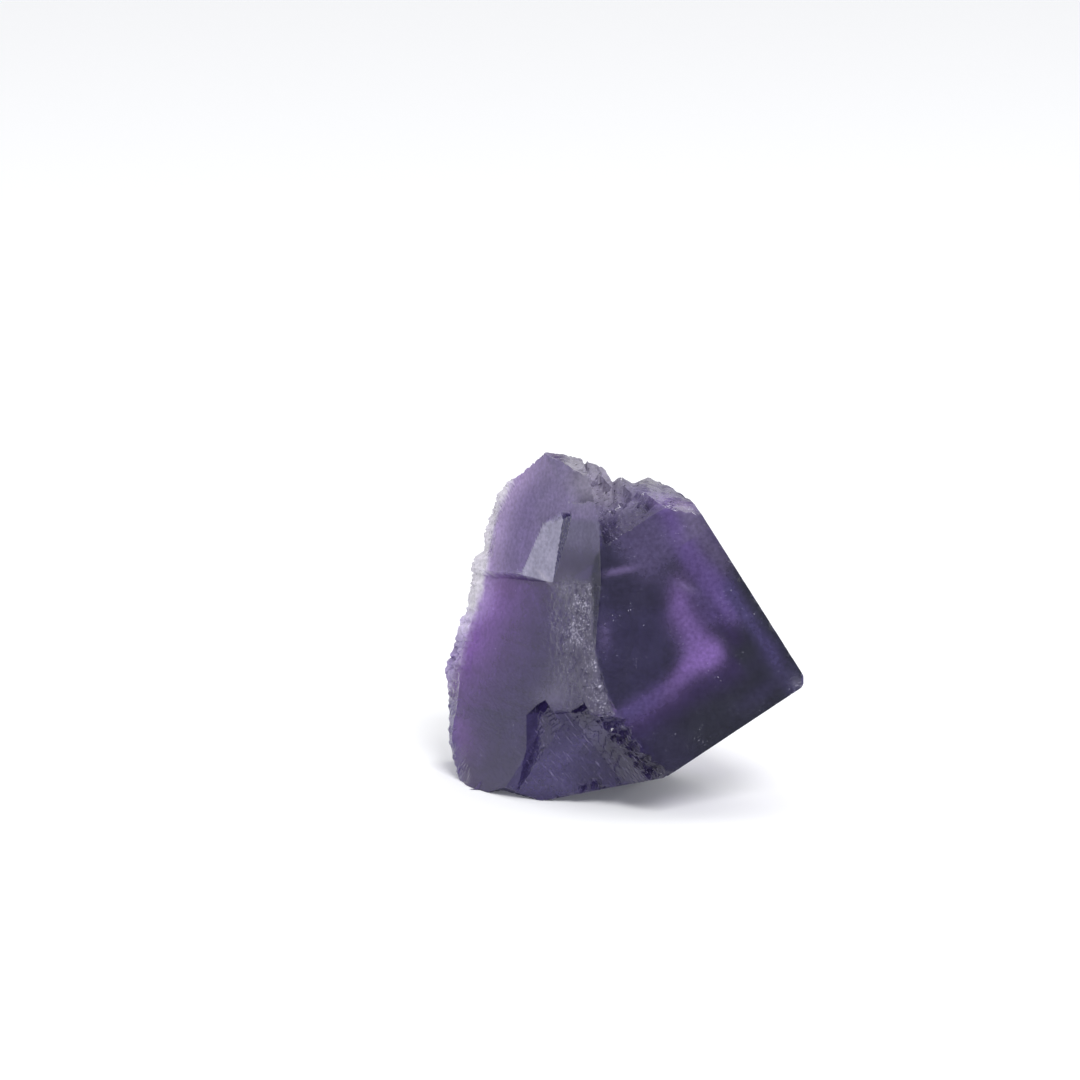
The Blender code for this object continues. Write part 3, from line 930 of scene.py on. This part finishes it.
def setAttribute(item, name, kind, values):
    layer = item.data.attributes.new(name, kind, "POINT")
    field = "color" if kind == "FLOAT_COLOR" else "value"
    layer.data.foreach_set(field, values.astype(np.float32).ravel())


colour, grain, clear, scratch = paintStone(facePoints, met)
setAttribute(stone, "stain", "FLOAT_COLOR", np.column_stack([colour, np.ones(len(colour))]))
setAttribute(stone, "grain", "FLOAT", grain)
setAttribute(stone, "clear", "FLOAT", clear)
setAttribute(stone, "scratch", "FLOAT", scratch)
stone.data.set_sharp_from_angle(angle=math.radians(7.0))
print("stone painted")

looks = {
    "ior": 1.433,  # fluorite
    "polish": 0.09,  # roughness of a fresh cleavage or growth face
    "frostRough": 0.42,
    "bodyTint": "#8a6cc8",  # the colour that light takes on inside
    "bodyDensity": 55.0,  # per metre
}


def addNode(tree, kind, inputs=None, **settings):
    node = tree.nodes.new(kind)
    for name, value in settings.items():
        setattr(node, name, value)
    for name, value in (inputs or {}).items():
        if isinstance(value, bpy.types.NodeSocket):
            tree.links.new(value, node.inputs[name])
        else:
            node.inputs[name].default_value = value
    return node


# Purple fluorite: glassy and half clear, so that light comes through the thin edges and the
# depth of the body goes dark; broken parts are frosted by fine grains.
fluorite = bpy.data.materials.new("fluorite")
fluorite.use_nodes = True
tree = fluorite.node_tree
tree.nodes.clear()
place = addNode(tree, "ShaderNodeTexCoord").outputs["Object"]
stain = addNode(tree, "ShaderNodeAttribute", attribute_name="stain").outputs["Color"]
frosted = addNode(tree, "ShaderNodeAttribute", attribute_name="grain").outputs["Fac"]
clearness = addNode(tree, "ShaderNodeAttribute", attribute_name="clear").outputs["Fac"]
scratched = addNode(tree, "ShaderNodeAttribute", attribute_name="scratch").outputs["Fac"]
fine = addNode(
    tree, "ShaderNodeTexNoise", {"Vector": place, "Scale": 2600.0, "Detail": 3.0}
).outputs["Fac"]
broad = addNode(
    tree, "ShaderNodeTexNoise", {"Vector": place, "Scale": 420.0, "Detail": 4.0}
).outputs["Fac"]
grit = addNode(
    tree,
    "ShaderNodeTexNoise",
    {"Vector": place, "Scale": 5200.0, "Detail": 3.0, "Roughness": 0.65, "Distortion": 0.7},
).outputs["Fac"]
mottle = addNode(
    tree, "ShaderNodeMapRange", {0: broad, 1: 0.25, 2: 0.75, 3: 0.84, 4: 1.16}
).outputs[0]
speckle = addNode(
    tree, "ShaderNodeMapRange", {0: fine, 1: 0.3, 2: 0.7, 3: 0.82, 4: 1.18}
).outputs[0]
shade = addNode(tree, "ShaderNodeMath", {0: mottle, 1: speckle}, operation="MULTIPLY").outputs[0]
body = addNode(
    tree, "ShaderNodeVectorMath", {0: stain, "Scale": shade}, operation="SCALE"
).outputs[0]

# fine scratches that run two ways over the broken parts, one pale and one dark: a noise that
# is drawn out to threads about a millimetre long
threads = []
for angle, seed in ((52.0, 0.0), (-33.0, 0.05)):
    laid = addNode(
        tree,
        "ShaderNodeMapping",
        {
            "Vector": place,
            "Location": (seed, 0.0, 0.0),
            "Rotation": (0.0, math.radians(angle), 0.0),
            "Scale": (0.0016, 0.0004, 0.00018),
        },
        vector_type="TEXTURE",
    ).outputs[0]
    thread = addNode(
        tree,
        "ShaderNodeTexNoise",
        {"Vector": laid, "Scale": 1.0, "Detail": 1.0, "Distortion": 0.8},
    ).outputs["Fac"]
    thread = addNode(
        tree, "ShaderNodeMapRange", {0: thread, 1: 0.64, 2: 0.74, 3: 0.0, 4: 1.0}
    ).outputs[0]
    threads.append(addNode(
        tree, "ShaderNodeMath", {0: thread, 1: scratched}, operation="MULTIPLY"
    ).outputs[0])
body = addNode(
    tree, "ShaderNodeMix", {0: threads[1], 6: body, 7: (0.03, 0.025, 0.06, 1.0)}, data_type="RGBA"
).outputs[2]
paleThread = addNode(
    tree, "ShaderNodeMath", {0: threads[0], 1: 0.36}, operation="MULTIPLY"
).outputs[0]
body = addNode(
    tree, "ShaderNodeMix", {0: paleThread, 6: body, 7: (0.42, 0.38, 0.60, 1.0)}, data_type="RGBA"
).outputs[2]

# white grains where the finest noise peaks, partly real frosted grains and partly painted glints: a
# few on broken parts, many in the sugary ridge
lift = addNode(
    tree, "ShaderNodeMath", {0: frosted, 1: 0.20, 2: grit}, operation="MULTIPLY_ADD"
).outputs[0]
lift = addNode(
    tree, "ShaderNodeMath", {0: broad, 1: 0.45, 2: lift}, operation="MULTIPLY_ADD"
).outputs[0]
white = addNode(
    tree, "ShaderNodeMapRange", {0: lift, 1: 0.96, 2: 1.05, 3: 0.0, 4: 0.85}
).outputs[0]
surface = addNode(
    tree, "ShaderNodeMix", {0: white, 6: body, 7: (0.60, 0.58, 0.72, 1.0)}, data_type="RGBA"
).outputs[2]
rough = addNode(
    tree,
    "ShaderNodeMapRange",
    {0: frosted, 1: 0.0, 2: 1.0, 3: looks["polish"], 4: looks["frostRough"]},
).outputs[0]
through = addNode(tree, "ShaderNodeMath", {0: white, 1: 0.8}, operation="MULTIPLY").outputs[0]
through = addNode(tree, "ShaderNodeMath", {0: 1.0, 1: through}, operation="SUBTRACT").outputs[0]
through = addNode(
    tree, "ShaderNodeMath", {0: clearness, 1: through}, operation="MULTIPLY"
).outputs[0]
waver = addNode(
    tree, "ShaderNodeMapRange", {0: frosted, 1: 0.0, 2: 0.5, 3: 0.14, 4: 0.4}
).outputs[0]
relief = addNode(
    tree, "ShaderNodeBump", {"Strength": waver, "Distance": 0.00006, "Height": fine}
).outputs[0]
sugar = addNode(tree, "ShaderNodeMath", {0: frosted, 1: 0.9}, operation="MULTIPLY").outputs[0]
relief = addNode(
    tree,
    "ShaderNodeBump",
    {"Strength": sugar, "Distance": 0.0001, "Height": grit, "Normal": relief},
).outputs[0]
shader = addNode(
    tree,
    "ShaderNodeBsdfPrincipled",
    {
        "Base Color": surface,
        "Roughness": rough,
        "IOR": looks["ior"],
        "Transmission Weight": through,
        "Normal": relief,
    },
)
absorb = addNode(
    tree,
    "ShaderNodeVolumeAbsorption",
    {"Color": (*hexColour(looks["bodyTint"]), 1.0), "Density": looks["bodyDensity"]},
)
addNode(
    tree, "ShaderNodeOutputMaterial", {"Surface": shader.outputs[0], "Volume": absorb.outputs[0]}
)
stone.data.materials.append(fluorite)
print("material ready")

bpy.ops.mesh.primitive_plane_add(size=8.0, location=(0.0, 0.0, -0.00005))
floor = bpy.context.active_object
floor.name = "floor"
paper = bpy.data.materials.new("whitePaper")  # matt white card, a bare pale ground
paper.use_nodes = True
card = paper.node_tree.nodes["Principled BSDF"].inputs
card["Base Color"].default_value = (0.90, 0.905, 0.92, 1)
card["Roughness"].default_value = 0.9
card["Emission Color"].default_value = (0.9, 0.93, 1.0, 1)
card["Emission Strength"].default_value = 0.10
floor.data.materials.append(paper)

# The studio is white all round, with a dim opening behind the camera so that faces turned to
# it stay dark.
studio = {
    "white": 1.0,
    "dim": 0.18,
    "opening": (0.0, -1.0, 0.05),  # the way from the stone to the opening
    "keyPower": 10.0,  # watts
    "keySize": 0.4,  # metres
    "keyPlace": (0.25, -0.85, 0.75),
}
world = bpy.data.worlds.new("studio")
bpy.context.scene.world = world
world.use_nodes = True
sky = world.node_tree
sky.nodes.clear()
aim = addNode(sky, "ShaderNodeTexCoord").outputs["Generated"]
facing = addNode(
    sky, "ShaderNodeVectorMath", {0: aim, 1: unit(*studio["opening"])}, operation="DOT_PRODUCT"
).outputs["Value"]
glow = addNode(
    sky,
    "ShaderNodeMapRange",
    {0: facing, 1: 0.1, 2: 0.95, 3: studio["white"], 4: studio["dim"]},
    interpolation_type="SMOOTHSTEP",
).outputs[0]
lamp = addNode(
    sky, "ShaderNodeBackground", {"Color": (1.0, 1.0, 1.0, 1.0), "Strength": glow}
).outputs[0]
addNode(sky, "ShaderNodeOutputWorld", {"Surface": lamp})

keyData = bpy.data.lights.new("key", "AREA")
keyData.energy = studio["keyPower"]
keyData.size = studio["keySize"]
key = bpy.data.objects.new("key", keyData)
bpy.context.scene.collection.objects.link(key)
key.location = studio["keyPlace"]
key.rotation_euler = (Vector((0, 0, 0.01)) - key.location).to_track_quat("-Z", "Y").to_euler()

view = {"focal": 150.0, "sensor": 36.0, "aim": (-6.0, 10.0), "distance": 450.0}
cameraData = bpy.data.cameras.new("camera")
cameraData.lens = view["focal"]
cameraData.sensor_width = view["sensor"]
cameraData.clip_start = 0.01
cameraData.clip_end = 20.0
camera = bpy.data.objects.new("camera", cameraData)
bpy.context.scene.collection.objects.link(camera)
turnMatrix = Matrix(stand.T.tolist()).to_4x4()
cameraSpot = toPart(np.array([[view["aim"][0], view["aim"][1], view["distance"]]]))[0]
camera.matrix_world = Matrix.Translation(cameraSpot.tolist()) @ turnMatrix
bpy.context.scene.camera = camera
bpy.context.scene.view_settings.view_transform = "Standard"
